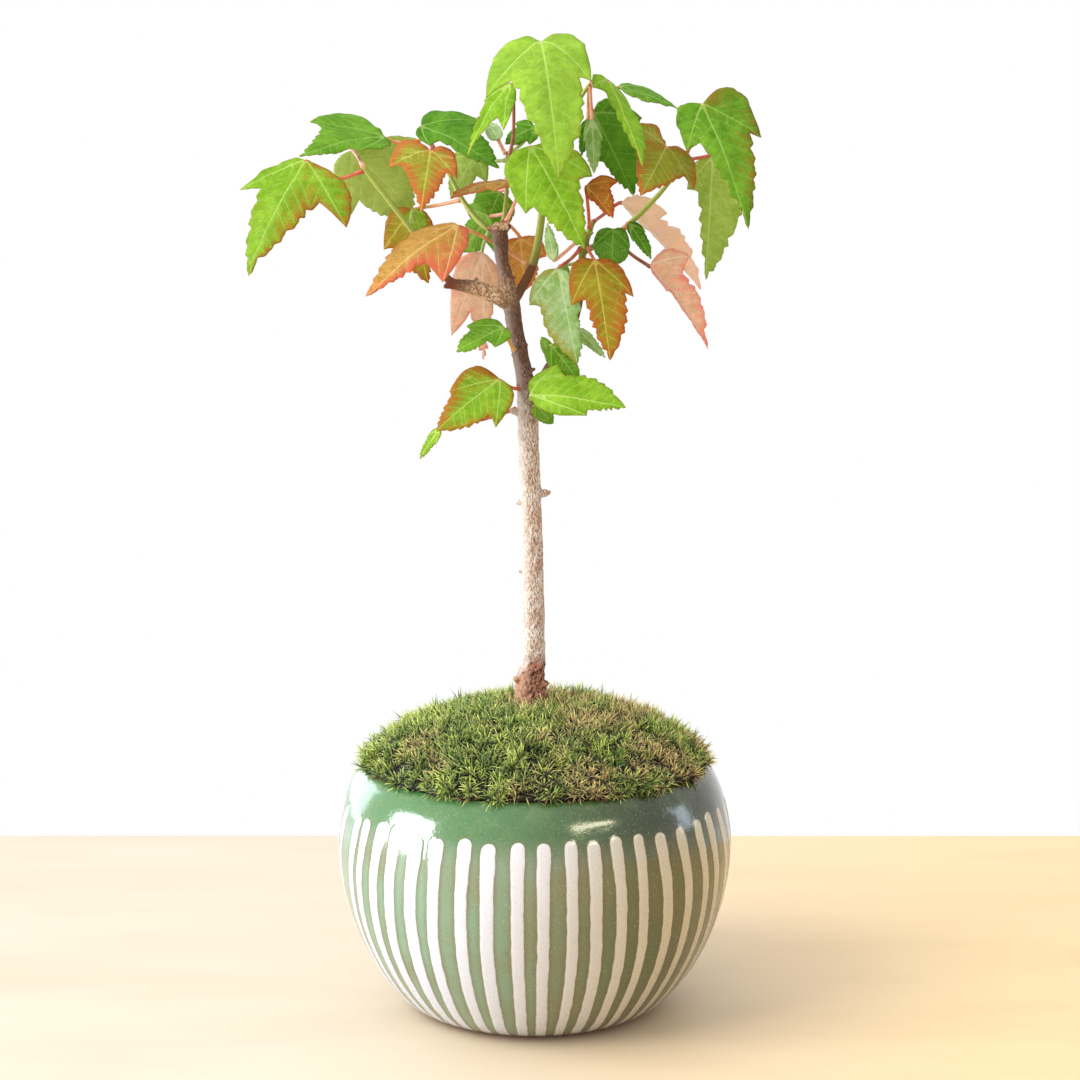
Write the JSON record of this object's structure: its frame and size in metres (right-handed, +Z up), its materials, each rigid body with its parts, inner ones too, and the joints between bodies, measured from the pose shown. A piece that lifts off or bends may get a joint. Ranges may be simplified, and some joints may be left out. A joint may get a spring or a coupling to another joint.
{
  "type": "bonsai tree in a pot",
  "caption": "Young trident maple bonsai with an upright trunk and loose crown, rooted under a moss cushion in a round, glazed, vertically striped pot with drain holes",
  "frame": {"origin": "centre of the pot's flat underside, on the surface that it stands on", "axes": "+Z up along the pot's axis; the front of the tree faces -Y; +X to the viewer's right"},
  "size_m": [0.1193, 0.095, 0.231],
  "materials": {
    "glaze": "gloss",
    "netting": "matte",
    "soil": "matte",
    "moss": "matte",
    "bark": "matte",
    "leaf_fresh": "satin",
    "leaf_green": "satin",
    "leaf_pale": "satin",
    "leaf_deep": "satin",
    "leaf_flush": "satin",
    "leaf_orange": "satin",
    "leaf_gold": "satin",
    "leaf_silver": "satin",
    "leaf_pink": "satin",
    "leaf_rust": "satin"
  },
  "bodies": {
    "root": {"pot": "glaze", "drain_net": "netting", "soil": "soil", "moss": "moss", "tree": "bark", "leaf_left_1": "leaf_fresh", "leaf_left_2": "leaf_green", "leaf_left_3": "leaf_pale", "leaf_left_4": "leaf_deep", "leaf_left_5": "leaf_flush", "leaf_left_6": "leaf_pale", "leaf_left_7": "leaf_orange", "leaf_left_8": "leaf_orange", "leaf_left_9": "leaf_gold", "leaf_left_10": "leaf_fresh", "leaf_mid_1": "leaf_green", "leaf_mid_2": "leaf_green", "leaf_mid_3": "leaf_pink", "leaf_mid_4": "leaf_orange", "leaf_low_1": "leaf_green", "leaf_low_2": "leaf_fresh", "leaf_low_3": "leaf_fresh", "leaf_low_4": "leaf_fresh", "leaf_low_5": "leaf_green", "leaf_low_6": "leaf_green", "leaf_low_7": "leaf_green", "leaf_low_8": "leaf_silver", "leaf_right_1": "leaf_silver", "leaf_right_2": "leaf_silver", "leaf_right_3": "leaf_gold", "leaf_right_4": "leaf_green", "leaf_right_5": "leaf_deep", "leaf_right_6": "leaf_deep", "leaf_right_7": "leaf_pink", "leaf_right_8": "leaf_pink", "leaf_right_9": "leaf_flush", "leaf_right_10": "leaf_green", "leaf_right_11": "leaf_pale", "leaf_top_1": "leaf_fresh", "leaf_top_2": "leaf_fresh", "leaf_top_3": "leaf_fresh", "leaf_top_4": "leaf_green", "leaf_top_5": "leaf_deep", "leaf_top_6": "leaf_silver", "leaf_top_7": "leaf_deep", "leaf_top_8": "leaf_fresh", "leaf_top_9": "leaf_deep", "leaf_top_10": "leaf_rust", "leaf_top_11": "leaf_silver"}
  },
  "joints": []
}
